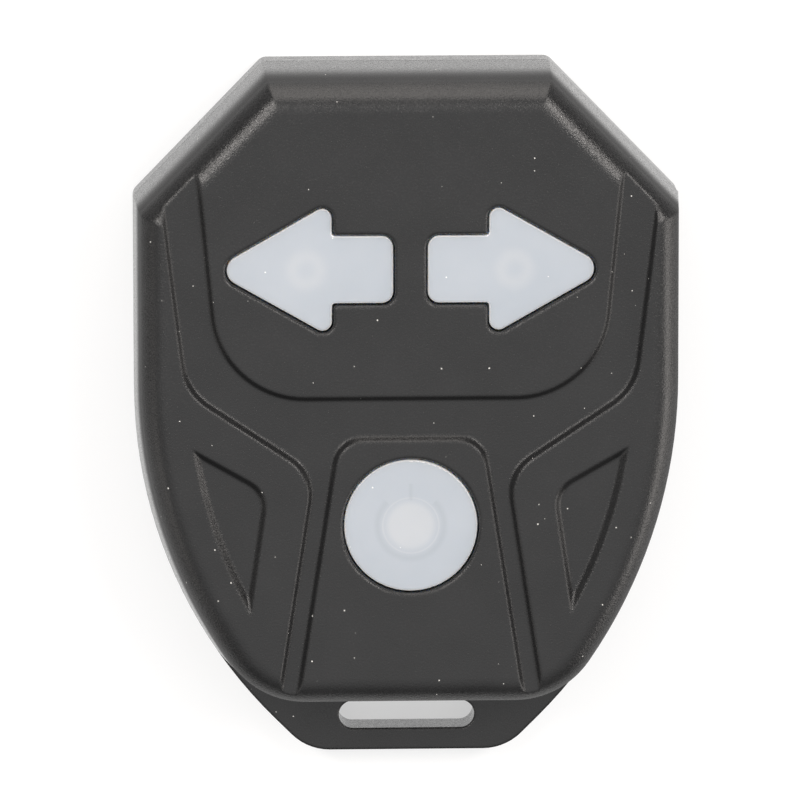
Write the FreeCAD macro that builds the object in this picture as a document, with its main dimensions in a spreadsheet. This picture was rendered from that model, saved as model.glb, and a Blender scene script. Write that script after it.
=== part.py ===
import FreeCAD, Part
import math
import os
import re
import Sketcher

# Hand remote of a turn-signal tail light: a two-part case with a strap slot, three
# translucent keys, a circuit board and a coin cell behind a twist-off cover.
# The case lies on its back: X to the right, Y towards the top edge, Z out of the face.

os.makedirs("parts", exist_ok=True)
doc = FreeCAD.newDocument("signal_remote")
sheet = doc.addObject("Spreadsheet::Sheet", "sizes")

# Driving sizes in millimetres and degrees
SIZES = [
    # case outline, seen on its face
    ("half_width", 20.15),
    ("top_half", 10.57),
    ("chamfer_angle", 44.1),
    ("top_reach", 26.05),
    ("side_start", 1.7),
    ("side_radius", 35.5),
    ("face_side_start", 4.0),
    ("face_side_radius", 38.0),
    ("bottom_reach", 20.9),
    ("bottom_corner", 6.6),
    ("corner_radius", 0.8),
    # case heights and walls
    ("case_height", 13.0),
    ("parting", 3.2),
    ("draft_angle", 3.3),
    ("rim_radius", 2.0),
    ("back_edge", 0.6),
    ("wall", 2.3),
    ("face_thickness", 1.6),
    # strap tab
    ("tab_reach", 25.78),
    ("tab_corner", 4.0),
    ("slot_length", 10.1),
    ("slot_width", 2.1),
    ("slot_margin", 2.66),
    # sunken channel of the face
    ("channel_depth", 0.45),
    ("channel_slope", 0.35),
    ("overrun", 30.0),
    ("arm_top_x", 18.08),
    ("arm_top_y", 18.0),
    ("elbow_x", 16.25),
    ("elbow_y", 3.15),
    ("elbow_radius", 5.5),
    ("neck_x", 6.9),
    ("neck_y", 3.05),
    ("neck_radius", 4.2),
    ("leg_x", 9.4),
    ("leg_y", 19.2),
    # raised panel round the arrows and raised panel round the round key
    ("panel_x", 13.85),
    ("panel_y", 2.45),
    ("panel_top_x", 15.5),
    ("panel_top_y", 19.2),
    ("panel_radius", 7.0),
    ("shield_x", 5.26),
    ("shield_y", 0.55),
    ("shield_foot_x", 8.12),
    ("shield_foot_y", 18.7),
    ("shield_radius", 2.3),
    # sunken side triangles
    ("fin_top_x", 16.0),
    ("fin_top_y", 1.1),
    ("fin_in_x", 10.3),
    ("fin_in_y", 4.35),
    ("fin_low_x", 11.7),
    ("fin_low_y", 13.75),
    ("fin_side_radius", 37.0),
    ("fin_radius", 2.4),
    ("fin_slope", 0.5),
    # keys
    ("arrow_drop", 14.06),
    ("arrow_tip", 14.53),
    ("arrow_angle", 29.7),
    ("barb_x", 5.74),
    ("shaft_half", 2.48),
    ("shaft_end", 1.26),
    ("tip_radius", 1.1),
    ("barb_radius", 0.7),
    ("end_radius", 0.85),
    ("inner_radius", 0.25),
    ("round_y", 7.01),
    ("round_radius", 4.89),
    ("key_sink", 0.3),
    ("key_edge", 0.15),
    ("key_gap", 0.13),
    ("key_step", 0.5),
    ("key_step_height", 0.6),
    ("key_step_gap", 0.1),
    ("key_travel", 0.3),
    ("hole_edge", 0.2),
    ("post_radius", 1.45),
    ("post_x", 7.62),
    ("mat_thickness", 0.6),
    ("mat_gap", 0.3),
    # screw bosses
    ("case_boss_radius", 2.0),
    ("top_boss_side", 0.85),
    ("top_boss_drop", 8.3),
    ("low_boss_inset", 10.6),
    ("low_boss_rise", 6.7),
    ("case_screw_radius", 1.0),
    ("case_screw_length", 8.0),
    ("case_head_radius", 1.9),
    ("case_head_height", 1.2),
    ("head_sink", 0.3),
    ("board_boss_radius", 1.7),
    ("board_top_drop", 4.85),
    ("board_side_inset", 5.9),
    ("board_side_y", 4.0),
    ("board_screw_radius", 0.7),
    ("board_screw_length", 3.6),
    ("board_head_radius", 1.45),
    ("board_head_height", 0.8),
    ("screw_gap", 0.05),
    ("cross_width", 0.45),
    ("cross_depth", 0.6),
    # locating rib and seal between the case halves
    ("rib_gap", 0.1),
    ("rib_width", 0.8),
    ("rib_height", 1.5),
    ("seal_width", 0.8),
    ("seal_depth", 0.7),
    ("seal_inset", 0.75),
    ("seal_gap", 0.05),
    # battery cover
    ("cell_y", 2.0),
    ("door_radius", 11.75),
    ("door_gap", 0.15),
    ("door_sink", 0.15),
    ("door_floor", 1.5),
    ("door_ring", 1.2),
    ("door_height", 2.7),
    ("ledge_height", 1.75),
    ("lug_reach", 1.2),
    ("lug_height", 0.85),
    ("lug_gap", 0.1),
    ("lug_angle", 30.0),
    ("lug_count", 3),
    ("door_turn", 45.0),
    ("coin_slot_length", 14.0),
    ("coin_slot_width", 1.8),
    ("coin_slot_depth", 0.9),
    ("ring_section", 0.5),
    ("ring_height", 0.95),
    # coin cell and what holds it
    ("cell_radius", 10.0),
    ("cell_height", 3.2),
    ("cell_gap", 0.2),
    ("cell_cap_radius", 8.9),
    ("cell_cap_step", 0.25),
    ("holder_gap", 0.3),
    ("holder_width", 0.9),
    ("holder_depth", 3.0),
    ("clip_width", 4.0),
    ("sheet_metal", 0.25),
    ("spring_reach", 5.0),
    ("spring_width", 2.0),
    # circuit board and its parts
    ("board_z", 6.3),
    ("board_thickness", 1.0),
    ("board_gap", 0.35),
    ("boss_hole_gap", 0.25),
    ("switch_side", 5.2),
    ("switch_height", 1.4),
    ("switch_cover", 0.15),
    ("switch_rim", 0.25),
    ("dome_radius", 1.9),
    ("dome_room", 0.3),
    ("plunger_radius", 1.25),
    ("plunger_rise", 0.55),
    ("plunger_gap", 0.05),
    ("flange_radius", 1.6),
    ("flange_height", 0.3),
    ("led_length", 1.6),
    ("led_width", 0.8),
    ("led_height", 0.6),
    ("led_offset", 3.8),
    ("chip_length", 5.0),
    ("chip_width", 4.0),
    ("chip_height", 1.3),
    ("chip_rise", 5.9),
    ("pin_pitch", 1.27),
    ("pin_count", 4),
    ("pin_reach", 0.9),
    ("pin_width", 0.4),
    ("can_gap", 0.35),
    ("can_shift", 3.0),
    ("can_length", 2.5),
    ("can_width", 2.0),
    ("can_height", 0.8),
    ("passive_length", 1.6),
    ("passive_width", 0.8),
    ("passive_height", 0.5),
    ("passive_pitch", 2.2),
    ("passive_count", 4),
    ("passive_drop", 8.15),
]
for row, (alias, value) in enumerate(SIZES, 1):
    sheet.set(f"A{row}", alias)
    sheet.set(f"B{row}", str(value))
    sheet.setAlias(f"B{row}", alias)
doc.recompute()

NAMES = re.compile(r"\b(" + "|".join(alias for alias, value in SIZES) + r")\b")
UP = FreeCAD.Vector(0, 0, 1)


# An expression on the sheet's sizes, its value now, and a property bound to it
def linked(text):
    return NAMES.sub(r"sizes.\1", text)


def value_of(text):
    result = doc.getObject("sizes").evalExpression(text)
    return float(getattr(result, "Value", result))


def bind(thing, prop, text):
    thing.setExpression(prop, linked(text))


# Part primitives and booleans whose sizes and places are bound to the sheet
def place(thing, x, y, z):
    for axis, text in (("x", x), ("y", y), ("z", z)):
        bind(thing, "Placement.Base." + axis, text)
    return thing


def cylinder(name, radius, height, x, y, z):
    rod = doc.addObject("Part::Cylinder", name)
    bind(rod, "Radius", radius)
    bind(rod, "Height", height)
    return place(rod, x, y, z)


def block(name, length, width, height, x, y, z):
    brick = doc.addObject("Part::Box", name)
    bind(brick, "Length", length)
    bind(brick, "Width", width)
    bind(brick, "Height", height)
    return place(brick, f"{x} - ({length}) / 2", f"{y} - ({width}) / 2", z)


def fuse(name, pieces):
    joined = doc.addObject("Part::MultiFuse", name)
    joined.Refine = False
    joined.Shapes = pieces
    return joined


def cut(name, base, tools):
    rest = doc.addObject("Part::Cut", name)
    rest.Refine = False
    rest.Base = base
    rest.Tool = tools[0] if len(tools) == 1 else fuse(name + "_tools", tools)
    return rest


# A closed sketch: each corner is (x, y) or, where an arc leads on to the next corner,
# (x, y, radius, turn) with turn 1 to the left and -1 to the right
def arc_between(start, end, radius, turn):
    chord = end - start
    reach = math.sqrt(max(radius ** 2 - (chord.Length / 2) ** 2, 0.0))
    side = FreeCAD.Vector(-chord.y, chord.x, 0).normalize()
    centre = (start + end) * 0.5 + side * (turn * reach)
    first, last = (start, end) if turn > 0 else (end, start)
    angles = [math.atan2(p.y - centre.y, p.x - centre.x) for p in (first, last)]
    return Part.ArcOfCircle(Part.Circle(centre, UP, radius), angles[0], angles[1])


def base_sketch(body, name, height):
    sketch = body.newObject("Sketcher::SketchObject", name)
    plane = [f for f in body.Origin.OriginFeatures if f.Role == "XY_Plane"][0]
    sketch.AttachmentSupport = (plane, [""])
    sketch.MapMode = "FlatFace"
    bind(sketch, "AttachmentOffset.Base.z", height)
    return sketch


def fix(sketch, constraint, text):
    index = sketch.addConstraint(constraint)
    bind(sketch, f"Constraints[{index}]", text)


def draw_outline(sketch, corners):
    points = [FreeCAD.Vector(value_of(c[0]), value_of(c[1]), 0) for c in corners]
    runs = []
    for index, corner in enumerate(corners):
        start, end = points[index], points[(index + 1) % len(points)]
        if len(corner) == 2:
            runs.append((sketch.addGeometry(Part.LineSegment(start, end), False), 1, 2))
            continue
        radius, turn = corner[2:]
        arc = arc_between(start, end, value_of(radius), turn)
        ends = (1, 2) if turn > 0 else (2, 1)
        runs.append((sketch.addGeometry(arc, False), ends[0], ends[1]))
    for index, run in enumerate(runs):
        follower = runs[(index + 1) % len(runs)]
        sketch.addConstraint(
            Sketcher.Constraint("Coincident", run[0], run[2], follower[0], follower[1]))
    for point, corner, run in zip(points, corners, runs):
        across = Sketcher.Constraint("DistanceX", -1, 1, run[0], run[1], point.x)
        along = Sketcher.Constraint("DistanceY", -1, 1, run[0], run[1], point.y)
        fix(sketch, across, corner[0])
        fix(sketch, along, corner[1])
        if len(corner) == 4:
            fix(sketch, Sketcher.Constraint("Radius", run[0], value_of(corner[2])), corner[2])


# A body padded from an outline, whose upright edges at named corners are rounded
def pad(name, corners, start, height, taper="0"):
    body = doc.addObject("PartDesign::Body", name)
    sketch = base_sketch(body, name + "_outline", start)
    draw_outline(sketch, corners)
    feature = body.newObject("PartDesign::Pad", name + "_pad")
    feature.Profile = sketch
    bind(feature, "Length", height)
    bind(feature, "TaperAngle", taper)
    doc.recompute()
    return body


def round_edges(body, edges, radius):
    feature = body.newObject("PartDesign::Fillet", f"{body.Name}_round{len(body.Group)}")
    feature.Base = (body.Group[-2], edges)
    bind(feature, "Radius", radius)
    doc.recompute()
    return body


def upright_edges(body, corners):
    shape = body.Tip.Shape
    spots = [(value_of(c[0]), value_of(c[1])) for c in corners]
    floor = min(v.Z for v in shape.Vertexes)
    names = []
    for index, edge in enumerate(shape.Edges, 1):
        ends = sorted((v.Point for v in edge.Vertexes), key=lambda p: p.z)
        if len(ends) < 2 or ends[0].z > floor + 0.01 or ends[1].z < floor + 0.1:
            continue
        if any(math.hypot(ends[0].x - x, ends[0].y - y) < 0.02 for x, y in spots):
            names.append(f"Edge{index}")
    return names


def level_edges(shape, height):
    level = value_of(height)
    names = []
    for index, edge in enumerate(shape.Edges, 1):
        if all(abs(v.Z - level) < 1e-4 for v in edge.Vertexes):
            if abs(edge.CenterOfMass.z - level) < 1e-4:
                names.append(f"Edge{index}")
    return names


def mirrored(corners):
    flipped = []
    for index, corner in enumerate(reversed(corners)):
        # the arc between two corners belongs to the earlier one, so it moves along
        before = corners[(len(corners) - 2 - index) % len(corners)]
        flipped.append((f"-({corner[0]})", corner[1]) + tuple(before[2:]))
    return flipped


# The case outline, moved inwards by inset, for everything that follows the walls; its upper
# corners are cut off at chamfer_angle from the long direction
def side_corners(inset, start="side_start", radius=None):
    shoulder = "top_reach - (half_width - top_half) / tan(chamfer_angle)"
    return [
        (f"top_half - ({inset}) * tan(45 - chamfer_angle / 2)", f"top_reach - ({inset})"),
        (f"half_width - ({inset})", f"{shoulder} - ({inset}) * tan(chamfer_angle / 2)"),
        (f"half_width - ({inset})", start, radius or f"side_radius - ({inset})", -1),
    ]


def case_outline(inset, start="side_start", radius=None):
    right = side_corners(inset, start, radius)
    radius = right[2][2]
    reach = f"sqrt(({radius})^2 - ({start} + bottom_reach - ({inset}))^2)"
    right.append((f"half_width - ({inset}) - ({radius}) + {reach}", f"({inset}) - bottom_reach"))
    left = [(f"-({c[0]})", c[1]) for c in reversed(right)]
    left[0] = left[0] + (radius, -1)
    return right + left


def case_pad(name, inset, start, height, taper="0", corner="corner_radius"):
    corners = case_outline(inset)
    body = pad(name, corners, start, height, taper)
    low = upright_edges(body, corners[3:5])
    round_edges(body, low, f"bottom_corner - ({inset})")
    if corner:
        round_edges(body, upright_edges(body, corners[:2] + corners[-2:]), corner)
    return body


# The front shell's outside: drafted walls whose sides curve in more towards the face
def front_walls():
    levels = (("parting", case_outline("0")),
              ("case_height", case_outline("(case_height - parting) * tan(draft_angle)",
                                           "face_side_start", "face_side_radius")))
    walls = doc.addObject("Part::Loft", "front_walls")
    for height, corners in levels:
        sketch = doc.addObject("Sketcher::SketchObject", "front_at_" + height)
        bind(sketch, "Placement.Base.z", height)
        draw_outline(sketch, corners)
        walls.Sections += [sketch]
    walls.Solid = True
    walls.Ruled = True
    doc.recompute()
    return walls


def front_skin():
    corners = case_outline("0")
    walls = front_walls()
    skin = doc.addObject("PartDesign::Body", "front_skin")
    skin.BaseFeature = walls
    doc.recompute()
    round_edges(skin, upright_edges(skin, corners[3:5]), "bottom_corner")
    return round_edges(skin, level_edges(skin.Tip.Shape, "case_height"), "rim_radius")


# The sides run on to 45 degrees and then straight to the end of the strap tab
def tab_outline():
    right = side_corners("0")
    knee_x = "half_width - side_radius + side_radius * cos(45)"
    knee_y = "side_start - side_radius * sin(45)"
    right.append((knee_x, knee_y))
    right.append((f"{knee_x} - tab_reach - ({knee_y})", "-tab_reach"))
    left = [(f"-({c[0]})", c[1]) for c in reversed(right)]
    left[1] = left[1] + ("side_radius", -1)
    return right + left


# An arrow outline about its row, its edges moved outwards by grow
ARROW_ROW = "(top_reach - arrow_drop)"


def arrow_outline(side, grow):
    tip = f"(arrow_tip + ({grow}) / sin(arrow_angle))"
    back = f"(barb_x - ({grow}))"
    barb = f"(({tip} - {back}) * tan(arrow_angle))"
    half = f"(shaft_half + ({grow}))"
    end = f"(shaft_end - ({grow}))"
    right = [
        (tip, ARROW_ROW),
        (back, f"{ARROW_ROW} - {barb}"),
        (back, f"{ARROW_ROW} - {half}"),
        (end, f"{ARROW_ROW} - {half}"),
        (end, f"{ARROW_ROW} + {half}"),
        (back, f"{ARROW_ROW} + {half}"),
        (back, f"{ARROW_ROW} + {barb}"),
    ]
    return right if side > 0 else mirrored(right)


def arrow_pad(name, side, grow, start, height):
    corners = arrow_outline(side, grow)
    body = pad(name, corners, start, height)
    plain = arrow_outline(1, grow)
    sign = "" if side > 0 else "-"
    groups = (([0], f"tip_radius + ({grow})"), ([1, 6], f"barb_radius + ({grow})"),
              ([3, 4], f"end_radius + ({grow})"), ([2, 5], "inner_radius"))
    for indexes, radius in groups:
        spots = [(f"{sign}({plain[i][0]})", plain[i][1]) for i in indexes]
        round_edges(body, upright_edges(body, spots), radius)
    return body


# Heights that several pieces share
UNDERSIDE = "(case_height - face_thickness)"
CHANNEL_FLOOR = "(case_height - channel_depth)"
BOARD_TOP = "(board_z + board_thickness)"
SLOPE = "atan(channel_slope / channel_depth)"
MAT_TOP = f"({UNDERSIDE} - key_step_gap)"
SWITCH_TOP = f"({BOARD_TOP} + switch_height)"
PLUNGER_TOP = f"({SWITCH_TOP} + plunger_rise)"
SIDES = (("left", -1), ("right", 1))
KEYS = (("left", "-post_x", ARROW_ROW), ("right", "post_x", ARROW_ROW), ("round", "0", "-round_y"))
CASE_SCREWS = [(f"{side} * ({x})", y) for side in (-1, 1) for x, y in (
    ("top_half + top_boss_side", "top_reach - top_boss_drop"),
    ("half_width - low_boss_inset", "low_boss_rise - bottom_reach"))]
BOARD_SCREWS = [("0", "top_reach - board_top_drop"),
                ("board_side_inset - half_width", "-board_side_y"),
                ("half_width - board_side_inset", "-board_side_y")]
nodes = {}


def keep(node, thing):
    thing.Label = node
    nodes[node] = thing
    return thing


def cylinders(name, spots, radius, height, z):
    return [cylinder(f"{name}{i}", radius, height, x, y, z) for i, (x, y) in enumerate(spots)]


# Front shell: a drafted shell with a rounded rim and a sunken Y-shaped channel
def sloped_pad(name, corners, start, rounded, radius, width, at_foot=False):
    # twice as high as the channel is deep, with a slope of that depth along its top or foot
    body = pad(name, corners, start, "2 * channel_depth")
    round_edges(body, upright_edges(body, rounded), radius)
    edges = level_edges(body.Tip.Shape, start if at_foot else f"{start} + 2 * channel_depth")
    slope = body.newObject("PartDesign::Chamfer", name + "_slope")
    slope.Base = (body.Group[-2], edges)
    slope.ChamferType = "Two distances"
    slope.FlipDirection = at_foot
    bind(slope, "Size", "channel_depth")
    bind(slope, "Size2", width)
    doc.recompute()
    return body


def face_cutters():
    def slope_line(x0, y0, x1, y1, at):
        return f"({x0} + ({x1} - ({x0})) * (({at}) - ({y0})) / ({y1} - ({y0})))"

    rise = "(channel_depth + rim_radius)"
    arm = slope_line("elbow_x", "elbow_y", "arm_top_x", "arm_top_y", "overrun")
    leg = slope_line("neck_x", "-neck_y", "leg_x", "-leg_y", "-overrun")
    right = [(arm, "overrun"), ("elbow_x", "elbow_y"), ("neck_x", "-neck_y"), (leg, "-overrun")]
    left = [(f"-({x})", y) for x, y in reversed(right)]
    channel = pad("channel_form", right + left, CHANNEL_FLOOR, rise, SLOPE)
    round_edges(channel, upright_edges(channel, [right[1], left[2]]), "elbow_radius")
    round_edges(channel, upright_edges(channel, [right[2], left[1]]), "neck_radius")

    # a panel's sizes are given at the middle of its sloping edge
    top = slope_line("panel_x", "panel_y", "panel_top_x", "panel_top_y", "overrun")
    half = "channel_slope / 2"
    right = [(f"{top} + {half}", "overrun"), (f"panel_x + {half}", f"panel_y - {half}")]
    left = [(f"-({x})", y) for x, y in reversed(right)]
    low = f"{CHANNEL_FLOOR} - channel_depth"
    panel = sloped_pad("arrow_panel", right + left, low, [right[1], left[0]], "panel_radius",
                       "channel_slope")

    foot = slope_line("shield_x", "-shield_y", "shield_foot_x", "-shield_foot_y", "-overrun")
    right = [(f"shield_x + {half}", f"{half} - shield_y"), (f"{foot} + {half}", "-overrun")]
    left = [(f"-({x})", y) for x, y in reversed(right)]
    shield = sloped_pad("round_panel", right + left, low, [right[0], left[1]], "shield_radius",
                        "channel_slope")

    cutters = [cut("channel", channel, [panel, shield])]
    for side, sign in SIDES:
        corners = [("fin_top_x", "-fin_top_y", "fin_side_radius", -1),
                   ("fin_low_x", "-fin_low_y"), ("fin_in_x", "-fin_in_y")]
        inner = corners[2]
        if sign < 0:
            corners = mirrored(corners)
            inner = corners[0]
        cutters.append(sloped_pad(f"{side}_fin", corners, CHANNEL_FLOOR, [inner], "fin_radius",
                                  "fin_slope", at_foot=True))
    return cutters


def key_holes():
    start = f"{UNDERSIDE} - key_gap"
    height = "face_thickness + 2 * key_gap"
    holes = [arrow_pad(f"{side}_hole", sign, "key_gap", start, height) for side, sign in SIDES]
    holes.append(cylinder("round_hole", "round_radius + key_gap", height, "0", "-round_y", start))
    return holes


def front_shell():
    inside = case_pad("front_inside", "wall", "parting", f"{UNDERSIDE} - parting")
    hollow = cut("front_hollow", front_skin(), [inside] + face_cutters() + key_holes())
    bosses = cylinders("case_boss", CASE_SCREWS, "case_boss_radius",
                       "case_height - face_thickness / 2 - parting", "parting")
    bosses += cylinders("board_boss", BOARD_SCREWS, "board_boss_radius",
                        f"case_height - face_thickness / 2 - {BOARD_TOP}", BOARD_TOP)
    body = fuse("front_body", [hollow] + bosses)
    pilots = cylinders("case_pilot", CASE_SCREWS, "case_screw_radius + screw_gap",
                       "case_screw_length", "parting")
    pilots += cylinders("board_pilot", BOARD_SCREWS, "board_screw_radius + screw_gap",
                        "board_screw_length", BOARD_TOP)
    drilled = cut("front_drilled", body, pilots)
    doc.recompute()
    softened = doc.addObject("Part::Fillet", "front_softened")
    softened.Base = drilled
    softened.Edges = [(i, value_of("hole_edge"), value_of("hole_edge"))
                      for i in hole_edge_numbers(drilled.Shape)]
    return keep("front_shell", softened)


def hole_edge_numbers(shape):
    level = value_of("case_height")
    reach = value_of("round_radius + key_gap")
    round_y = -value_of("round_y")
    row = value_of(ARROW_ROW)
    half = value_of("(arrow_tip - barb_x + 2 * key_gap) * tan(arrow_angle)")
    numbers = []
    for index, edge in enumerate(shape.Edges, 1):
        box = edge.BoundBox
        if box.ZMin < level - 1e-4:
            continue
        round_one = abs(box.XMax) < reach + 0.01 and abs(box.XMin) < reach + 0.01
        round_one = round_one and abs((box.YMin + box.YMax) / 2 - round_y) < 0.01
        arrow_one = box.YMin > row - half - 0.5 and box.YMax < row + half + 0.5
        arrow_one = arrow_one and max(-box.XMin, box.XMax) < value_of("arrow_tip")
        if round_one or arrow_one:
            numbers.append(index)
    return numbers


# Rear shell: a floor that carries the strap tab, the battery hole and the locating rib
def ring_pad(name, inset, width, start, height):
    outer = case_pad(name + "_outer", inset, start, height, corner=None)
    inner = case_pad(name + "_inner", f"{inset} + {width}", start, height, corner=None)
    return cut(name, outer, [inner])


def sector(name, inner, outer, height, z, turn):
    # a sector of a ring, centred on the angle turn
    rod = cylinder(name + "_rod", outer, height, "0", "cell_y", z)
    bind(rod, "Angle", "lug_angle")
    rod.Placement.Rotation = FreeCAD.Rotation(UP, 0)
    bind(rod, "Placement.Rotation.Angle", f"{turn} - lug_angle / 2")
    bore = cylinder(name + "_bore", inner, height, "0", "cell_y", z)
    return cut(name, rod, [bore])


def lug_turns(extra="0"):
    count = int(value_of("lug_count"))
    return [f"90 + {i} * 360 / lug_count + {extra}" for i in range(count)]


def rear_shell():
    corners = tab_outline()
    plate = pad("plate", corners, "0", "parting")
    round_edges(plate, upright_edges(plate, [corners[4], corners[5]]), "tab_corner")
    round_edges(plate, upright_edges(plate, corners[:2] + corners[-2:]), "corner_radius")
    round_edges(plate, level_edges(plate.Tip.Shape, "0"), "back_edge")
    rib = ring_pad("rib", "wall + rib_gap", "rib_width", "parting - back_edge",
                   "rib_height + back_edge")
    body = fuse("rear_body", [plate, rib])
    slot = strap_slot()
    hole = cylinder("door_hole", "door_radius + door_gap", "parting", "0", "cell_y", "0")
    pocket = cylinder("lug_pocket", "door_radius + lug_reach + door_gap",
                      "parting - ledge_height", "0", "cell_y", "ledge_height")
    entries = [sector(f"entry{i}", "door_radius", "door_radius + lug_reach + door_gap",
                      "ledge_height", "0", turn)
               for i, turn in enumerate(lug_turns("door_turn"))]
    heads = cylinders("head_hole", CASE_SCREWS, "case_head_radius + door_gap",
                      "head_sink + case_head_height", "0")
    shanks = cylinders("shank_hole", CASE_SCREWS, "case_screw_radius + door_gap", "parting", "0")
    groove = ring_pad("groove", "seal_inset - seal_gap", "seal_width + 2 * seal_gap",
                      "parting - seal_depth", "seal_depth")
    tools = [slot, hole, pocket, groove] + entries + heads + shanks
    keep("rear_shell", cut("rear_cut", body, tools))
    keep("case_seal", ring_pad("seal", "seal_inset", "seal_width",
                               "parting - seal_depth", "seal_depth"))


def strap_slot():
    row = "slot_margin - tab_reach"
    half = "(slot_length / 2 - slot_width / 2)"
    straight = block("slot_middle", f"2 * {half}", "slot_width", "parting", "0", row, "0")
    ends = cylinders("slot_end", ((f"-{half}", row), (half, row)),
                     "slot_width / 2", "parting", "0")
    return fuse("slot", [straight] + ends)


# Battery cover: a disc with a coin slot, a ring wall and lugs that turn under the floor
def battery_cover():
    disc = cylinder("door_disc", "door_radius", "door_height", "0", "cell_y", "door_sink")
    doc.recompute()
    edge = doc.addObject("Part::Chamfer", "door_edge")
    edge.Base = disc
    low = [i for i, e in enumerate(disc.Shape.Edges, 1)
           if e.BoundBox.ZMax < value_of("door_sink") + 1e-4]
    edge.Edges = [(i, value_of("door_gap"), value_of("door_gap")) for i in low]
    lugs = [sector(f"lug{i}", "door_radius - door_ring", "door_radius + lug_reach", "lug_height",
                   "ledge_height + lug_gap", turn) for i, turn in enumerate(lug_turns())]
    well = cylinder("door_well", "door_radius - door_ring", "door_height", "0", "cell_y",
                    "door_sink + door_floor")
    coin = block("coin_slot", "coin_slot_length", "coin_slot_width", "coin_slot_depth", "0",
                 "cell_y", "door_sink")
    groove = cylinder("ring_groove_outer", "door_radius + door_gap", "2 * ring_section + lug_gap",
                      "0", "cell_y", "ring_height - ring_section - lug_gap / 2")
    core = cylinder("ring_groove_core", "door_radius + door_gap - 2 * ring_section",
                    "2 * ring_section + lug_gap", "0", "cell_y",
                    "ring_height - ring_section - lug_gap / 2")
    body = fuse("door_body", [edge] + lugs)
    keep("battery_cover", cut("door", body, [well, coin, cut("ring_groove", groove, [core])]))
    ring = doc.addObject("Part::Torus", "door_ring_seal")
    bind(ring, "Radius1", "door_radius + door_gap - ring_section - screw_gap / 2")
    bind(ring, "Radius2", "ring_section - screw_gap / 2")
    place(ring, "0", "cell_y", "ring_height")
    keep("battery_cover_seal", ring)


# Keys: each cap has a step that stops it under the face and a post over its switch
def key(side, sign):
    base = f"{MAT_TOP} - key_step_height"
    height = f"case_height - key_sink - ({base})"
    if side == "round":
        cap = cylinder("round_cap", "round_radius", height, "0", "-round_y", base)
        step = cylinder("round_step", "round_radius + key_step", "key_step_height", "0",
                        "-round_y", base)
    else:
        cap = arrow_pad(f"{side}_cap", sign, "0", base, height)
        step = arrow_pad(f"{side}_step", sign, "key_step", base, "key_step_height")
    doc.recompute()
    shape = cap.Shape
    soft = doc.addObject("Part::Fillet", f"{side}_soft")
    soft.Base = cap
    soft.Edges = [(int(name[4:]), value_of("key_edge"), value_of("key_edge"))
                  for name in level_edges(shape, "case_height - key_sink")]
    x, y = [(kx, ky) for name, kx, ky in KEYS if name == side][0]
    foot = f"{PLUNGER_TOP} + plunger_gap"
    post = cylinder(f"{side}_post", "post_radius", f"{base} + key_step_height / 2 - {foot}",
                    x, y, foot)
    name = "round_key" if side == "round" else f"{side}_arrow_key"
    keep(name, fuse(f"{side}_key_body", [soft, step, post]))


def keypad_mat():
    base = f"{MAT_TOP} - mat_thickness"
    sheet_body = case_pad("mat_sheet", "wall + board_gap", base, "mat_thickness", corner=None)
    grow = "key_step + mat_gap"
    holes = [arrow_pad(f"{side}_mat_hole", sign, grow, base, "mat_thickness")
             for side, sign in SIDES]
    holes.append(cylinder("round_mat_hole", f"round_radius + {grow}", "mat_thickness", "0",
                          "-round_y", base))
    holes += cylinders("mat_case_hole", CASE_SCREWS, "case_boss_radius + boss_hole_gap",
                       "mat_thickness", base)
    holes += cylinders("mat_board_hole", BOARD_SCREWS, "board_boss_radius + boss_hole_gap",
                       "mat_thickness", base)
    keep("keypad_mat", cut("mat", sheet_body, holes))


# Circuit board with its switches, lamps, radio parts and battery contacts
def circuit_board():
    sheet_body = case_pad("board_sheet", "wall + board_gap", "board_z", "board_thickness",
                          corner=None)
    holes = cylinders("board_case_hole", CASE_SCREWS, "case_boss_radius + boss_hole_gap",
                      "board_thickness", "board_z")
    holes += cylinders("board_screw_hole", BOARD_SCREWS, "board_screw_radius + boss_hole_gap",
                       "board_thickness", "board_z")
    keep("circuit_board", cut("board", sheet_body, holes))


def switch(side, x, y):
    base = block(f"{side}_switch_block", "switch_side", "switch_side", "switch_height", x, y,
                 BOARD_TOP)
    depth = "(flange_height + plunger_gap + key_travel + dome_room)"
    well = cylinder(f"{side}_dome_well", "dome_radius", depth, x, y, f"{SWITCH_TOP} - {depth}")
    keep(f"{side}_switch_base", cut(f"{side}_switch_hollow", base, [well]))
    plate = block(f"{side}_switch_plate", "switch_side - 2 * switch_rim",
                  "switch_side - 2 * switch_rim", "switch_cover", x, y, SWITCH_TOP)
    eye = cylinder(f"{side}_switch_eye", "plunger_radius + door_gap", "switch_cover", x, y,
                   SWITCH_TOP)
    keep(f"{side}_switch_cover", cut(f"{side}_switch_lid", plate, [eye]))
    stem = cylinder(f"{side}_stem", "plunger_radius", "plunger_rise + flange_height + plunger_gap",
                    x, y, f"{SWITCH_TOP} - flange_height - plunger_gap")
    flange = cylinder(f"{side}_flange", "flange_radius", "flange_height", x, y,
                      f"{SWITCH_TOP} - flange_height - plunger_gap")
    keep(f"{side}_switch_plunger", fuse(f"{side}_plunger", [stem, flange]))
    inward = {"left": "1", "right": "-1", "round": "0"}[side]
    led_x = f"{x} + {inward} * led_offset"
    led_y = y if side != "round" else f"{y} + led_offset"
    lamp = block(f"{side}_lamp", "led_width", "led_length", "led_height", led_x, led_y, BOARD_TOP)
    keep(f"{side}_led", lamp)


def group(name, pieces):
    bundle = doc.addObject("Part::Compound", name)
    bundle.Links = pieces
    return bundle


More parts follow.
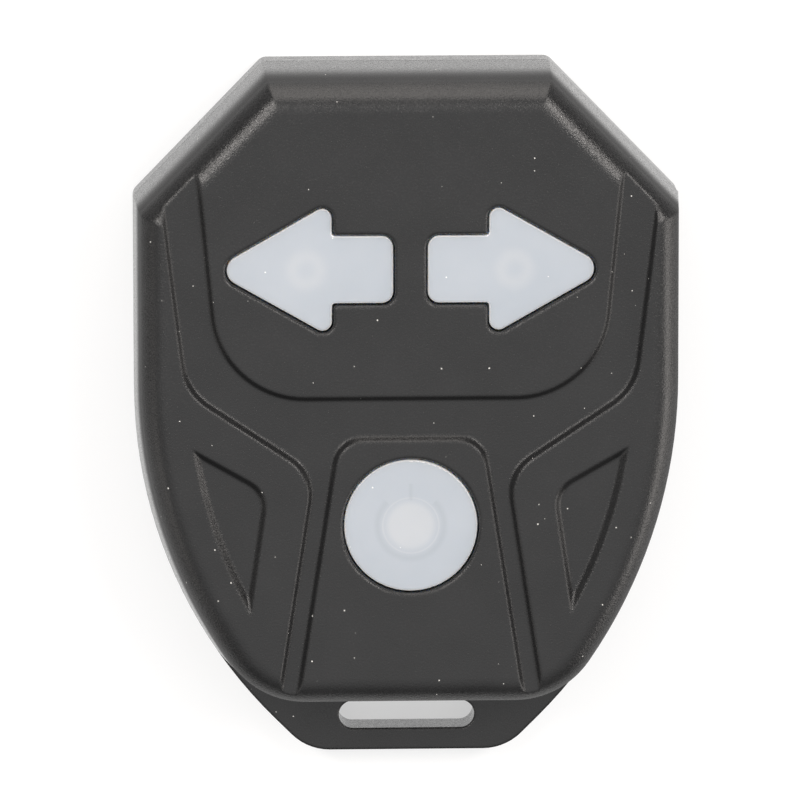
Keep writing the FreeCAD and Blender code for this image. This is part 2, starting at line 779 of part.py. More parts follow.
def board_parts():
    row = "(chip_rise - bottom_reach)"
    chip = block("chip_block", "chip_width", "chip_length", "chip_height", "0", row,
                 "board_z - chip_height")
    pins = []
    for i in range(int(value_of("pin_count"))):
        along = f"{row} + ({i} - (pin_count - 1) / 2) * pin_pitch"
        pins.append(block(f"pin{i}", "chip_width + 2 * pin_reach", "pin_width", "sheet_metal",
                          "0", along, "board_z - sheet_metal"))
    keep("radio_chip", fuse("chip", [chip] + pins))
    beside = "chip_width / 2 + pin_reach + can_gap + can_length / 2"
    keep("crystal_can", block("can", "can_length", "can_width", "can_height", beside,
                              f"{row} + can_shift", "board_z - can_height"))
    rows = {"chip_capacitors": 1, "chip_resistors": -1}
    for name, sign in rows.items():
        bricks = []
        for i in range(int(value_of("passive_count"))):
            x = f"{sign} * (passive_pitch / 2 + {i} * passive_pitch)"
            bricks.append(block(f"{name}{i}", "passive_width", "passive_length",
                                "passive_height", x, "top_reach - passive_drop",
                                "board_z - passive_height"))
        keep(name, group(name + "_group", bricks))


def cell_parts():
    low = "door_sink + door_floor + cell_gap"
    top = f"({low} + cell_height)"
    can = cylinder("cell_can", "cell_radius", "cell_height - cell_cap_step", "0", "cell_y", low)
    cap = cylinder("cell_cap", "cell_cap_radius", "cell_height", "0", "cell_y", low)
    keep("coin_cell", fuse("cell", [can, cap]))

    inner = "cell_radius + holder_gap"
    start = "board_z - holder_depth"
    ring = cylinder("holder_ring", f"{inner} + holder_width", "holder_depth", "0", "cell_y", start)
    bore = cylinder("holder_bore", inner, "holder_depth", "0", "cell_y", start)
    gate = block("holder_gate", f"2 * ({inner} + holder_width)", "clip_width + 2 * holder_gap",
                 "holder_depth", f"{inner} + holder_width", "cell_y", start)
    keep("cell_holder", cut("holder", ring, [bore, gate]))

    # the clip stands in the holder's gate and bears on the rim of the cell
    clip_x = f"cell_radius + sheet_metal / 2"
    wall = block("clip_wall", "sheet_metal", "clip_width", f"board_z - ({low}) - cell_gap", clip_x,
                 "cell_y", f"{low} + cell_gap")
    foot = block("clip_foot", "holder_width + sheet_metal", "clip_width", "sheet_metal",
                 f"cell_radius + (holder_width + sheet_metal) / 2", "cell_y",
                 "board_z - sheet_metal")
    keep("cell_clip", fuse("clip", [wall, foot]))

    # the spring leaf leaves the board and bears on the cap of the cell
    rise = f"board_z - {top}"
    post = block("spring_post", "spring_width", "sheet_metal", rise, "0",
                 "cell_y + spring_reach / 2", top)
    sole = block("spring_sole", "spring_width", "spring_reach / 2", "sheet_metal", "0",
                 "cell_y + spring_reach / 4", "board_z - sheet_metal")
    leaf = block("spring_leaf", "spring_width", "spring_reach", "sheet_metal", "0", "cell_y", top)
    keep("cell_contact", fuse("contact", [post, sole, leaf]))


# Screws: each group is one node of equal solids
def screws(name, spots, radius, length, head_radius, head_height, seat):
    made = []
    for i, (x, y) in enumerate(spots):
        head = cylinder(f"{name}_head{i}", head_radius, head_height, x, y,
                        f"{seat} - {head_height}")
        shank = cylinder(f"{name}_shank{i}", radius, length, x, y, seat)
        whole = fuse(f"{name}_body{i}", [head, shank])
        low = f"{seat} - {head_height}"
        bars = [block(f"{name}_bar{i}", f"1.2 * {head_radius}", "cross_width", "cross_depth",
                      x, y, low),
                block(f"{name}_arm{i}", "cross_width", f"1.2 * {head_radius}", "cross_depth",
                      x, y, low)]
        made.append(cut(f"{name}_one{i}", whole, bars))
    keep(name, group(name + "_group", made))


front_shell()
rear_shell()
battery_cover()
for side, sign in SIDES:
    key(side, sign)
key("round", 0)
keypad_mat()
circuit_board()
for side, x, y in KEYS:
    switch(side, x, y)
board_parts()
cell_parts()
screws("case_screws", CASE_SCREWS, "case_screw_radius", "case_screw_length - screw_gap",
       "case_head_radius", "case_head_height", "head_sink + case_head_height")
screws("board_screws", BOARD_SCREWS, "board_screw_radius", "board_screw_length - screw_gap",
       "board_head_radius", "board_head_height", "board_z")
doc.recompute()

# Every object has to be sound before anything is written
for thing in doc.Objects:
    if "Invalid" in thing.State or "Error" in thing.State:
        raise RuntimeError(f"{thing.Name} failed: {thing.State}")
for node, thing in nodes.items():
    if thing.Shape.isNull() or not thing.Shape.isValid():
        raise RuntimeError(f"{node} has no valid shape")
for node, thing in nodes.items():
    thing.Shape.exportStep(f"parts/{node}.step")
    box = thing.Shape.BoundBox
    print(f"{node}: {len(thing.Shape.Solids)} solid, {thing.Shape.Volume:.2f} mm3, "
          f"z {box.ZMin:.2f} to {box.ZMax:.2f}")
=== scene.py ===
import math

import bpy
from mathutils import Matrix, Vector


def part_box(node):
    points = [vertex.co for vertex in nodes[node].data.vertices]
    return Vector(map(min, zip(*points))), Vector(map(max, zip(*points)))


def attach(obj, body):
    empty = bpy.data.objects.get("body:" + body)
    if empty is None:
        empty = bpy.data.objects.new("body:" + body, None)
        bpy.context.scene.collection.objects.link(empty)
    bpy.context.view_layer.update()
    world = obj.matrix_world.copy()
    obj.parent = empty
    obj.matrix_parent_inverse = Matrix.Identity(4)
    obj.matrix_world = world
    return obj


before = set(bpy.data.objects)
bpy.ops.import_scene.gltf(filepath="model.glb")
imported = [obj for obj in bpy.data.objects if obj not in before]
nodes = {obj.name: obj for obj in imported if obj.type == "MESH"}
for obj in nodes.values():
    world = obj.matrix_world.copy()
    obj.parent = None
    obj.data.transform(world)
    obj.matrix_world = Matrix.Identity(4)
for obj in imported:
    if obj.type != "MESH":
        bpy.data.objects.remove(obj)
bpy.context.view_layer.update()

scene = bpy.context.scene

# The view: the remote lies on its back and is seen from above, from a hand's width towards
# the top edge, so that the top wall just shows.
tilt = math.radians(10.0)
yaw = math.radians(2.05)
roll = math.radians(0.08)
eye_distance = 0.7
picture_px = 800
shift_px = (-4.5, 1.2)
turn = Matrix.Rotation(roll, 3, "Z") @ Matrix.Rotation(tilt, 3, "X") @ Matrix.Rotation(yaw, 3, "Y")
lens = bpy.data.cameras.new("view")
lens.lens = 422.9
lens.sensor_width = 36.0
lens.shift_x = shift_px[0] / picture_px
lens.shift_y = shift_px[1] / picture_px
lens.clip_start = 0.05
lens.clip_end = 10.0
eye = bpy.data.objects.new("view", lens)
scene.collection.objects.link(eye)
eye_place = turn.transposed() @ Vector((0, 0, eye_distance))
eye.matrix_world = Matrix.Translation(eye_place) @ turn.transposed().to_4x4()
scene.camera = eye
scene.view_settings.view_transform = "Standard"

# The table: a matt white sheet under the remote. The camera sees it as plain white with a faint
# shadow; under the strap slot its white is lowered to grey, a painted shadow. The glossy case mirrors
# it, brighter near the remote than far away.
mm = 0.001


def put(tree, kind, inputs=None, **settings):
    family = "GeometryNode" if tree.type == "GEOMETRY" else "ShaderNode"
    made = tree.nodes.new(family + kind)
    for name, value in settings.items():
        setattr(made, name, value)
    for name, value in (inputs or {}).items():
        if isinstance(value, bpy.types.NodeSocket):
            tree.links.new(value, made.inputs[name])
        else:
            made.inputs[name].default_value = value
    return made


def blank(name, **skin_values):
    made = bpy.data.materials.new(name)
    made.use_nodes = True
    skin = made.node_tree.nodes["Principled BSDF"]
    for socket, value in skin_values.items():
        skin.inputs[socket.replace("_", " ")].default_value = value
    return made, made.node_tree, skin


def reckon(tree, operation, first, second=0.0):
    return put(tree, "Math", {0: first, 1: second}, operation=operation).outputs[0]


def chosen(tree, share, first, second):
    return put(tree, "Mix", {0: share, 2: first, 3: second}).outputs[0]


def spread(tree, value, low, high, start=0.3, end=0.7, **settings):
    limits = {"From Min": start, "From Max": end, "To Min": low, "To Max": high}
    return put(tree, "MapRange", {"Value": value, **limits}, **settings).outputs["Result"]


table_half = 1.5
corners = [(x * table_half, y * table_half, 0) for x, y in ((-1, -1), (1, -1), (1, 1), (-1, 1))]
sheet = bpy.data.meshes.new("table_top")
sheet.from_pydata(corners, [], [(0, 1, 2, 3)])
table_top = bpy.data.objects.new("table_top", sheet)
scene.collection.objects.link(table_top)

table_white, tree, skin = blank("table_white", Base_Color=(0.93, 0.93, 0.93, 1), Roughness=0.9)
skin.inputs["Specular IOR Level"].default_value = 0.0
glow_share = 0.64
plain_white = 1.08
slot_painted_shadow = 0.80
mirror_near, mirror_far = 1.5, 0.4
mirror_start, mirror_end = 40 * mm, 240 * mm
slot_y = -23.3 * mm
slot_narrowing = 0.3
painted_shadow_reach, white_reach = 1.8 * mm, 2.4 * mm
ray = put(tree, "LightPath").outputs
mirrored = reckon(tree, "MAXIMUM", ray["Is Glossy Ray"], ray["Is Transmission Ray"])
seen = reckon(tree, "MAXIMUM", ray["Is Camera Ray"], mirrored)
spot = put(tree, "NewGeometry").outputs["Position"]
from_middle = put(tree, "VectorMath", {0: spot}, operation="LENGTH").outputs["Value"]
mirror_level = spread(tree, from_middle, mirror_near, mirror_far, mirror_start, mirror_end)
# Painted shadow: under the strap slot the level the camera sees drops from plain white to a grey.
under_slot = put(tree, "Mapping", {"Vector": spot, "Location": (0.0, -slot_y, 0.0),
                                   "Scale": (slot_narrowing, 1.0, 1.0)}).outputs[0]
from_slot = put(tree, "VectorMath", {0: under_slot}, operation="LENGTH").outputs["Value"]
seen_level = spread(tree, from_slot, slot_painted_shadow, plain_white, painted_shadow_reach, white_reach)
level = chosen(tree, mirrored, seen_level, mirror_level)
glow = put(tree, "Emission", {"Color": (1, 1, 1, 1), "Strength": level})
share = reckon(tree, "MULTIPLY", seen, glow_share)
surface = put(tree, "MixShader", {0: share, 1: skin.outputs["BSDF"], 2: glow.outputs["Emission"]})
tree.links.new(surface.outputs[0], tree.nodes["Material Output"].inputs["Surface"])
sheet.materials.append(table_white)

# The light: a light tent, bright overhead and dim towards the horizon. One soft lamp stands past
# each upper corner, a low one behind the top edge and a low one on each side, the left one weak.
tent_dim, tent_bright = 0.20, 1.0
dim_below, bright_above = 0.50, 0.95
lamp_tint = (1.0, 0.95, 0.91)
tent = bpy.data.worlds.new("light_tent")
tent.use_nodes = True
tree = tent.node_tree
ray = put(tree, "LightPath").outputs
height = put(tree, "SeparateXYZ", {0: put(tree, "TexCoord").outputs["Generated"]}).outputs[2]
tent_level = spread(tree, height, tent_dim, tent_bright, dim_below, bright_above)
sky = tree.nodes["Background"]
sky.inputs["Color"].default_value = (1, 1, 1, 1)
tree.links.new(reckon(tree, "MAXIMUM", ray["Is Camera Ray"], tent_level), sky.inputs["Strength"])
scene.world = tent


def hang_lamp(name, place, width, depth, watts):
    glowing = bpy.data.lights.new(name, "AREA")
    glowing.shape = "RECTANGLE"
    glowing.size = width
    glowing.size_y = depth
    glowing.energy = watts
    glowing.color = lamp_tint
    lamp = bpy.data.objects.new(name, glowing)
    scene.collection.objects.link(lamp)
    lamp.location = place
    lamp.rotation_euler = (-Vector(place)).to_track_quat("-Z", "Y").to_euler()


hang_lamp("left_lamp", (-0.29, 0.24, 0.50), width=0.12, depth=0.34, watts=1.50)
hang_lamp("right_lamp", (0.33, 0.24, 0.48), width=0.12, depth=0.34, watts=1.50)
hang_lamp("right_fill", (0.52, -0.13, 0.20), width=0.42, depth=0.24, watts=1.25)
hang_lamp("left_fill", (-0.50, -0.20, 0.20), width=0.28, depth=0.24, watts=0.26)
hang_lamp("back_lamp", (0.0, 0.46, 0.18), width=0.34, depth=0.34, watts=1.00)


# Case: front and rear shell and battery cover, injection moulded in black ABS with a fine
# spark-eroded grain. The mould leaves a small radius on every edge and a slight bulge on the
# walls, and dust clings to it.
def object_spot(tree):
    return put(tree, "TexCoord").outputs["Object"]


def noise(tree, scale, detail=2.0, rough=0.5):
    texture = {"Vector": object_spot(tree), "Scale": scale, "Detail": detail, "Roughness": rough}
    return put(tree, "TexNoise", texture).outputs["Fac"]


def mixed(tree, share, first, second):
    ends = [end if isinstance(end, bpy.types.NodeSocket) else (*end, 1.0) for end in (first, second)]
    return put(tree, "Mix", {0: share, 6: ends[0], 7: ends[1]}, data_type="RGBA").outputs[2]


def mottled(tree, scale, dark, light, detail=3.0):
    return mixed(tree, spread(tree, noise(tree, scale, detail), 0.0, 1.0), dark, light)


def dust(tree, scale, largest, smallest=0.004):
    specks = put(tree, "TexVoronoi", {"Vector": object_spot(tree), "Scale": scale})
    draw = put(tree, "SeparateColor", {0: specks.outputs["Color"]}).outputs[0]
    reach = spread(tree, draw, smallest, largest, 0.0, 1.0)
    return reckon(tree, "LESS_THAN", specks.outputs["Distance"], reach)


def bumped(tree, skin, height, depth, strength=0.5, edge_radius=None):
    relief = {"Height": height, "Distance": depth, "Strength": strength}
    if edge_radius:
        relief["Normal"] = put(tree, "Bevel", {"Radius": edge_radius}, samples=10).outputs["Normal"]
    tree.links.new(put(tree, "Bump", relief).outputs["Normal"], skin.inputs["Normal"])


def finish_node(material, *names):
    for name in names:
        nodes[name].data.materials.clear()
        nodes[name].data.materials.append(material)


dust_grey = (0.62, 0.61, 0.58)
wall_foot, wall_head = 3.4 * mm, 12.6 * mm
wall_bulge, bulge_power = 2.3, 3.0
grain_height = 0.026
case_black, tree, skin = blank("case_black")
plain = mottled(tree, 260.0, dark=(0.0115, 0.0115, 0.0120), light=(0.0150, 0.0150, 0.0155))
specks = dust(tree, 850.0, largest=0.060)
tree.links.new(mixed(tree, specks, plain, dust_grey), skin.inputs["Base Color"])
sheen = spread(tree, noise(tree, 5200.0, detail=1.0), 0.20, 0.33)
tree.links.new(sheen, skin.inputs["Roughness"])
rise = put(tree, "SeparateXYZ", {0: object_spot(tree)}).outputs[2]
climb = spread(tree, rise, 0.0, 1.0, wall_foot, wall_head, interpolation_type="SMOOTHSTEP")
bulge = reckon(tree, "MULTIPLY", reckon(tree, "POWER", climb, bulge_power), wall_bulge)
grain = reckon(tree, "MULTIPLY", noise(tree, 7000.0, rough=0.65), grain_height)
relief = reckon(tree, "SUBTRACT", grain, bulge)
bumped(tree, skin, relief, depth=1.0 * mm, strength=1.0, edge_radius=0.34 * mm)
finish_node(case_black, "front_shell", "rear_shell", "battery_cover")


# Keys and the mat round them: translucent silicone, milky with a faint blue, moulded to shape.
# The keys' posts show through as paler rings and a paler middle, their rolled edges are painted
# paler as a highlight, and the round key has a faint on-off mark beneath its surface.
def middle_of(name):
    low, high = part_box(name)
    return [(a + b) / 2 for a, b in zip(low, high)]


def reach_from(tree, across, along, x, y):
    offset = {0: reckon(tree, "SUBTRACT", across, x), 1: reckon(tree, "SUBTRACT", along, y), 2: 0.0}
    apart = put(tree, "CombineXYZ", offset).outputs[0]
    return put(tree, "VectorMath", {0: apart}, operation="LENGTH").outputs["Value"]


def ring_band(tree, reach, radius, half, soft):
    away = reckon(tree, "ABSOLUTE", reckon(tree, "SUBTRACT", reach, radius))
    return spread(tree, away, 0.0, 1.0, half + soft, half - soft, interpolation_type="SMOOTHSTEP")


post_x = 7.62 * mm
row_y = middle_of("left_arrow_key")[1]
round_y = middle_of("round_key")[1]
arrow_post_share, pale_share, mark_share = 0.6, 0.35, 0.30
post_pale, mark_dark = (0.63, 0.63, 0.63), (0.33, 0.36, 0.40)
# The first pale colour here is a painted highlight for the keys' rolled edges; the second is dust.
highlight_pale, speck_pale = (0.86, 0.87, 0.88), (0.90, 0.90, 0.88)
flat_facing, rolled_facing = 0.97, 0.80
key_milky, tree, skin = blank("key_milky", Roughness=0.42, Subsurface_Weight=0.5)
skin.inputs["Subsurface Radius"].default_value = (1.0, 1.1, 1.25)
skin.inputs["Subsurface Scale"].default_value = 1.0 * mm
spot = put(tree, "SeparateXYZ", {0: object_spot(tree)}).outputs
off_axis = reckon(tree, "ABSOLUTE", spot[0])
above_round = reckon(tree, "SUBTRACT", spot[1], round_y)
from_post = reach_from(tree, off_axis, spot[1], post_x, row_y)
from_round = reach_from(tree, spot[0], spot[1], 0.0, round_y)
post_rings = ring_band(tree, from_post, radius=1.0 * mm, half=0.42 * mm, soft=0.45 * mm)
post_rings = reckon(tree, "MULTIPLY", post_rings, arrow_post_share)
round_post = ring_band(tree, from_round, radius=0.0, half=1.72 * mm, soft=0.30 * mm)
post_lip = ring_band(tree, from_round, radius=2.06 * mm, half=0.03 * mm, soft=0.07 * mm)
pale = reckon(tree, "MAXIMUM", reckon(tree, "MAXIMUM", post_rings, round_post), post_lip)
mark_ring = ring_band(tree, from_round, radius=2.45 * mm, half=0.20 * mm, soft=0.22 * mm)
mark_ring = reckon(tree, "MULTIPLY", mark_ring, reckon(tree, "LESS_THAN", above_round, off_axis))
stroke_across = ring_band(tree, spot[0], radius=0.0, half=0.12 * mm, soft=0.14 * mm)
stroke_along = ring_band(tree, above_round, radius=2.5 * mm, half=0.6 * mm, soft=0.06 * mm)
mark = reckon(tree, "MAXIMUM", mark_ring, reckon(tree, "MULTIPLY", stroke_across, stroke_along))
# Painted highlight: where the normal tilts over a key's rolled edge, the colour is mixed towards pale.
facing = put(tree, "SeparateXYZ", {0: put(tree, "NewGeometry").outputs["Normal"]}).outputs[2]
rolled_highlight = spread(tree, facing, 0.0, 1.0, flat_facing, rolled_facing)
milk = mottled(tree, 170.0, dark=(0.426, 0.464, 0.510), light=(0.460, 0.494, 0.538))
milk = mixed(tree, reckon(tree, "MULTIPLY", pale, pale_share), milk, post_pale)
milk = mixed(tree, reckon(tree, "MULTIPLY", mark, mark_share), milk, mark_dark)
milk = mixed(tree, rolled_highlight, milk, highlight_pale)
milk = mixed(tree, dust(tree, 760.0, largest=0.050), milk, speck_pale)
tree.links.new(milk, skin.inputs["Base Color"])
bumped(tree, skin, noise(tree, 2600.0), depth=0.01 * mm, strength=0.25)
finish_node(key_milky, "left_arrow_key", "right_arrow_key", "round_key", "keypad_mat")


# Seals: two rings of black rubber, one in a groove between the shells and one in a groove round
# the battery cover, both matt and slightly chalky from the mould.
def grained(name, dark, light, patches, sheen, sheen_scale, pits, depth, strength=0.5,
            edge_radius=None, **skin_values):
    made, tree, skin = blank(name, **skin_values)
    tree.links.new(mottled(tree, patches, dark, light), skin.inputs["Base Color"])
    tree.links.new(spread(tree, noise(tree, sheen_scale), *sheen), skin.inputs["Roughness"])
    bumped(tree, skin, noise(tree, pits), depth, strength, edge_radius)
    return made


seal_rubber = grained("seal_rubber", (0.010, 0.010, 0.010), (0.022, 0.022, 0.021), patches=900.0,
                      sheen=(0.62, 0.80), sheen_scale=3000.0, pits=6000.0, depth=0.01 * mm)
finish_node(seal_rubber, "case_seal", "battery_cover_seal")

# Circuit board: glass fibre under green solder mask, with copper tracks that show as paler
# green lines in blocks, and a tinned ring round each of the three screw holes.
top_screw_y = 21.2 * mm
side_screw_x, side_screw_y = 14.25 * mm, -4.0 * mm
board_screw_spots = [(0.0, top_screw_y), (-side_screw_x, side_screw_y), (side_screw_x, side_screw_y)]
tracks_per_metre = 1500.0
blank_blocks = 0.45
bare_board, over_copper, ring_tin = (0.006, 0.060, 0.022), (0.020, 0.130, 0.045), (0.62, 0.61, 0.58)
board_green, tree, skin = blank("board_green", Roughness=0.28, Coat_Weight=0.4)
spot = put(tree, "SeparateXYZ", {0: object_spot(tree)}).outputs
flat_spot = put(tree, "VectorMath", {0: object_spot(tree), 1: (1.0, 1.0, 0.0)}, operation="MULTIPLY")
blocks = put(tree, "TexVoronoi", {"Vector": flat_spot.outputs[0], "Scale": 230.0}, distance="CHEBYCHEV")
draw = put(tree, "SeparateColor", {0: blocks.outputs["Color"]}).outputs
lane = chosen(tree, reckon(tree, "GREATER_THAN", draw[0], 0.5), spot[0], spot[1])
phase = reckon(tree, "FRACT", reckon(tree, "MULTIPLY", lane, tracks_per_metre))
has_tracks = reckon(tree, "GREATER_THAN", draw[1], blank_blocks)
track_lines = ring_band(tree, phase, radius=0.5, half=0.2, soft=0.05)
tracks = reckon(tree, "MULTIPLY", track_lines, has_tracks)
green = mixed(tree, tracks, bare_board, over_copper)
rings = 0.0
for x, y in board_screw_spots:
    from_hole = reach_from(tree, spot[0], spot[1], x, y)
    ring = ring_band(tree, from_hole, radius=0.0, half=2.7 * mm, soft=0.05 * mm)
    rings = reckon(tree, "MAXIMUM", ring, rings)
tree.links.new(mixed(tree, rings, green, ring_tin), skin.inputs["Base Color"])
tree.links.new(reckon(tree, "MULTIPLY", rings, 0.9), skin.inputs["Metallic"])
bumped(tree, skin, tracks, depth=0.03 * mm, strength=0.4)
finish_node(board_green, "circuit_board")

# Switches: a moulded black base, a stamped steel cover plate with a round hole, and a small
# black plunger that stands through the hole and is pushed by the key's post.
switch_black = grained("switch_black", (0.012, 0.012, 0.013), (0.026, 0.026, 0.027), patches=1500.0,
                       sheen=(0.38, 0.55), sheen_scale=4000.0, pits=9000.0, depth=0.01 * mm,
                       strength=0.4, edge_radius=0.06 * mm)


def bright_metal(name, dark, light, rough, along, scale, sway=0.07):
    made, tree, skin = blank(name, Metallic=1.0)
    drawn = put(tree, "VectorMath", {0: object_spot(tree), 1: along}, operation="MULTIPLY").outputs[0]
    lines = put(tree, "TexNoise", {"Vector": drawn, "Scale": scale, "Detail": 3.0}).outputs["Fac"]
    tree.links.new(mixed(tree, spread(tree, lines, 0.0, 1.0), dark, light), skin.inputs["Base Color"])
    tree.links.new(spread(tree, lines, rough - sway, rough + sway), skin.inputs["Roughness"])
    bumped(tree, skin, lines, depth=0.004 * mm, edge_radius=0.05 * mm)
    return made


switch_steel = bright_metal("switch_steel", (0.50, 0.50, 0.49), (0.68, 0.68, 0.66), rough=0.26,
                            along=(0.08, 1.0, 1.0), scale=2500.0)
for side in ("left", "right", "round"):
    finish_node(switch_black, f"{side}_switch_base", f"{side}_switch_plunger")
    finish_node(switch_steel, f"{side}_switch_cover")

# LEDs: a small block of cast resin, soldered to the board beside each switch. The resin is
# clear and tinted yellow in soft patches.
led_clear, tree, skin = blank("led_clear", Roughness=0.12, IOR=1.53, Transmission_Weight=0.35)
resin = mottled(tree, 1100.0, dark=(0.80, 0.70, 0.32), light=(0.86, 0.84, 0.74), detail=2.0)
tree.links.new(resin, skin.inputs["Base Color"])
bumped(tree, skin, noise(tree, 5000.0), depth=0.004 * mm, strength=0.3, edge_radius=0.08 * mm)
finish_node(led_clear, "left_led", "right_led", "round_led")


# Radio chip: a block of moulded black epoxy with a dished dot at the first pin. Its two rows
# of tinned pins, left and right, are soldered to the board.
def tinned_where(tree, skin, mask, body_colour, rough):
    tin, tin_rough = (0.66, 0.65, 0.62), 0.30
    tree.links.new(mixed(tree, mask, body_colour, tin), skin.inputs["Base Color"])
    tree.links.new(mask, skin.inputs["Metallic"])
    tree.links.new(spread(tree, mask, rough, tin_rough, 0.0, 1.0), skin.inputs["Roughness"])


chip_half_width = 2.02 * mm
dot_left, dot_below, dot_radius = 1.3 * mm, 1.8 * mm, 0.28 * mm
chip_x, chip_y = middle_of("radio_chip")[:2]
chip_black, tree, skin = blank("chip_black")
spot = put(tree, "SeparateXYZ", {0: object_spot(tree)}).outputs
off_middle = reckon(tree, "ABSOLUTE", reckon(tree, "SUBTRACT", spot[0], chip_x))
pins = reckon(tree, "GREATER_THAN", off_middle, chip_half_width)
from_dot = reach_from(tree, spot[0], spot[1], chip_x - dot_left, chip_y - dot_below)
dished = ring_band(tree, from_dot, radius=0.0, half=dot_radius, soft=0.04 * mm)
epoxy = mottled(tree, 2200.0, dark=(0.010, 0.010, 0.011), light=(0.024, 0.024, 0.025))
tinned_where(tree, skin, pins, epoxy, rough=0.58)
grain = reckon(tree, "MULTIPLY", noise(tree, 7000.0), 0.15)
relief = reckon(tree, "SUBTRACT", grain, dished)
bumped(tree, skin, relief, depth=0.06 * mm, strength=0.6, edge_radius=0.05 * mm)
finish_node(chip_black, "radio_chip")

# Crystal: a can drawn from nickel-silver sheet, brushed along its length and soldered flat on
# the board.
can_steel = bright_metal("can_steel", (0.46, 0.45, 0.42), (0.62, 0.61, 0.57), rough=0.30,
                         along=(0.06, 1.0, 1.0), scale=3200.0)
finish_node(can_steel, "crystal_can")


# Chip capacitors and resistors: fired ceramic bodies, tan and black, with a tinned cap over
# both ends that is soldered to the board.
def chip_passive(name, node, dark, light, rough):
    cap_length = 0.3 * mm
    low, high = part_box(node)
    half_length = (high[1] - low[1]) / 2
    made, tree, skin = blank(name)
    spot = put(tree, "SeparateXYZ", {0: object_spot(tree)}).outputs
    off_middle = reckon(tree, "ABSOLUTE", reckon(tree, "SUBTRACT", spot[1], middle_of(node)[1]))
    caps = reckon(tree, "GREATER_THAN", off_middle, half_length - cap_length)
    tinned_where(tree, skin, caps, mottled(tree, 3000.0, dark, light), rough)
    grain = reckon(tree, "MULTIPLY", noise(tree, 9000.0), 0.3)
    relief = reckon(tree, "ADD", caps, grain)
    bumped(tree, skin, relief, depth=0.02 * mm, strength=0.6, edge_radius=0.05 * mm)
    finish_node(made, node)


chip_passive("capacitor_tan", "chip_capacitors", (0.26, 0.17, 0.08), (0.40, 0.28, 0.15), rough=0.45)
chip_passive("resistor_black", "chip_resistors", (0.010, 0.010, 0.012), (0.030, 0.030, 0.034), rough=0.25)

# Coin cell: a 20 mm cell in nickel-plated steel, turned bright on its faces with fine rings
# about its middle. It lies in its holder over the battery cover.
cell_x, cell_y = middle_of("coin_cell")[:2]
cell_steel, tree, skin = blank("cell_steel", Metallic=1.0)
spot = put(tree, "SeparateXYZ", {0: object_spot(tree)}).outputs
from_cell = reach_from(tree, spot[0], spot[1], cell_x, cell_y)
turning = {"W": from_cell, "Scale": 9000.0, "Detail": 3.0}
turned = put(tree, "TexNoise", turning, noise_dimensions="1D").outputs["Fac"]
nickel = mixed(tree, spread(tree, turned, 0.0, 1.0), (0.52, 0.52, 0.51), (0.68, 0.68, 0.66))
tree.links.new(nickel, skin.inputs["Base Color"])
tree.links.new(spread(tree, noise(tree, 240.0, detail=4.0), 0.20, 0.36), skin.inputs["Roughness"])
bumped(tree, skin, turned, depth=0.003 * mm, edge_radius=0.12 * mm)
finish_node(cell_steel, "coin_cell")

# Cell holder: a moulded black frame on the board's underside. The side clip and the spring
# leaf are punched and bent from nickel-plated bronze strip and touch the cell.
holder_black = grained("holder_black", (0.014, 0.014, 0.014), (0.024, 0.024, 0.024), patches=700.0,
                       sheen=(0.45, 0.60), sheen_scale=3500.0, pits=5000.0, depth=0.02 * mm,
                       strength=0.4, edge_radius=0.12 * mm)
finish_node(holder_black, "cell_holder")
contact_plated = bright_metal("contact_plated", (0.58, 0.52, 0.40), (0.74, 0.68, 0.54), rough=0.24,
                              along=(1.0, 0.08, 1.0), scale=2800.0)
finish_node(contact_plated, "cell_clip", "cell_contact")

# Screws: black-oxidised steel with a crossed recess. Four long ones pull the rear shell against
# the front shell's bosses and three short ones hold the board; their coarse threads cut their
# own way into the plastic.
screw_black = grained("screw_black", (0.020, 0.020, 0.021), (0.060, 0.058, 0.056), patches=1800.0,
                      sheen=(0.30, 0.46), sheen_scale=2600.0, pits=9000.0, depth=0.008 * mm,
                      edge_radius=0.08 * mm, Metallic=0.85)
finish_node(screw_black, "case_screws", "board_screws")

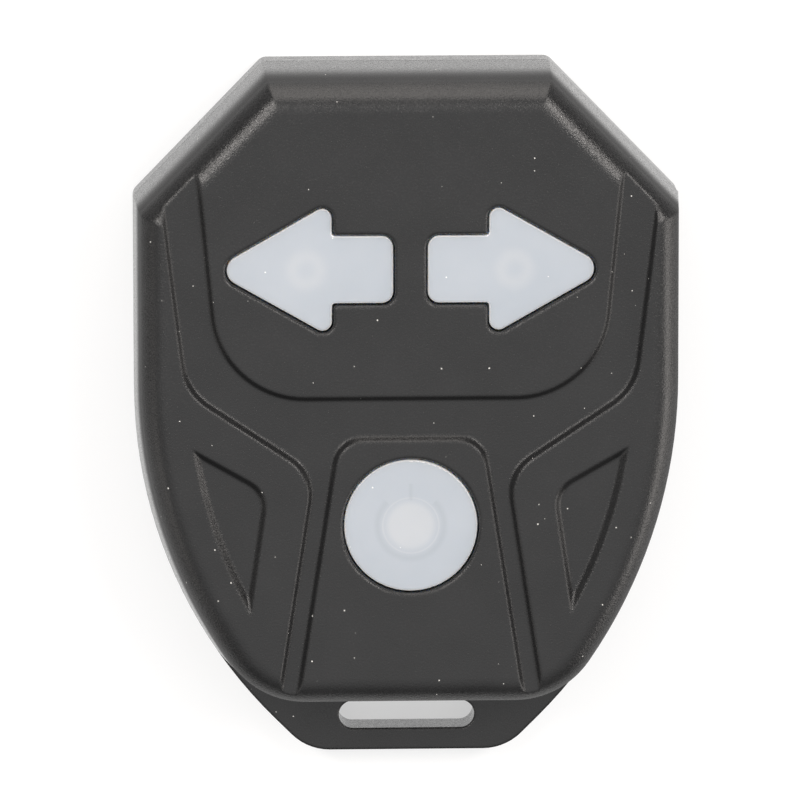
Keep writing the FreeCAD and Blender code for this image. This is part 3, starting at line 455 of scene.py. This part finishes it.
thread = bpy.data.node_groups.new("screw_thread", "GeometryNodeTree")
thread.interface.new_socket(name="Spots", in_out="INPUT", socket_type="NodeSocketGeometry")
for size_name in ("Core", "Length", "Turns", "Ridge"):
    thread.interface.new_socket(name=size_name, in_out="INPUT", socket_type="NodeSocketFloat")
thread.interface.new_socket(name="Threads", in_out="OUTPUT", socket_type="NodeSocketGeometry")
given = thread.nodes.new("NodeGroupInput").outputs
coil = {"Resolution": 24, "Rotations": given["Turns"], "Start Radius": given["Core"],
        "End Radius": given["Core"], "Height": given["Length"]}
helix = put(thread, "CurveSpiral", coil).outputs[0]
ridge = put(thread, "CurvePrimitiveCircle", {"Resolution": 3, "Radius": given["Ridge"]}).outputs[0]
swept = put(thread, "CurveToMesh", {"Curve": helix, "Profile Curve": ridge, "Fill Caps": True})
copies = put(thread, "InstanceOnPoints", {"Points": given["Spots"], "Instance": swept.outputs[0]})
solid = put(thread, "RealizeInstances", {0: copies.outputs[0]})
coated = put(thread, "SetMaterial", {"Geometry": solid.outputs[0], "Material": screw_black})
thread.links.new(coated.outputs[0], thread.nodes.new("NodeGroupOutput").inputs[0])


def cut_threads(name, spots, foot, **sizes):
    base = bpy.data.meshes.new(name)
    base.from_pydata([(x, y, foot) for x, y in spots], [], [])
    piece = bpy.data.objects.new(name, base)
    scene.collection.objects.link(piece)
    grown = piece.modifiers.new("thread", "NODES")
    grown.node_group = thread
    for socket in thread.interface.items_tree:
        if socket.name in sizes:
            grown[socket.identifier] = sizes[socket.name]
    settled = piece.evaluated_get(bpy.context.evaluated_depsgraph_get())
    piece.data = bpy.data.meshes.new_from_object(settled)
    piece.modifiers.clear()
    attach(piece, "case")


upper_screw = (11.42 * mm, 17.75 * mm)
lower_screw = (9.55 * mm, -14.2 * mm)
case_screw_spots = [(side * x, y) for x, y in (upper_screw, lower_screw) for side in (-1, 1)]
cut_threads("case_screw_threads", case_screw_spots, foot=3.6 * mm,
            Core=0.98 * mm, Length=5.6 * mm, Turns=7.0, Ridge=0.18 * mm)
cut_threads("board_screw_threads", board_screw_spots, foot=7.4 * mm,
            Core=0.68 * mm, Length=2.2 * mm, Turns=4.0, Ridge=0.13 * mm)
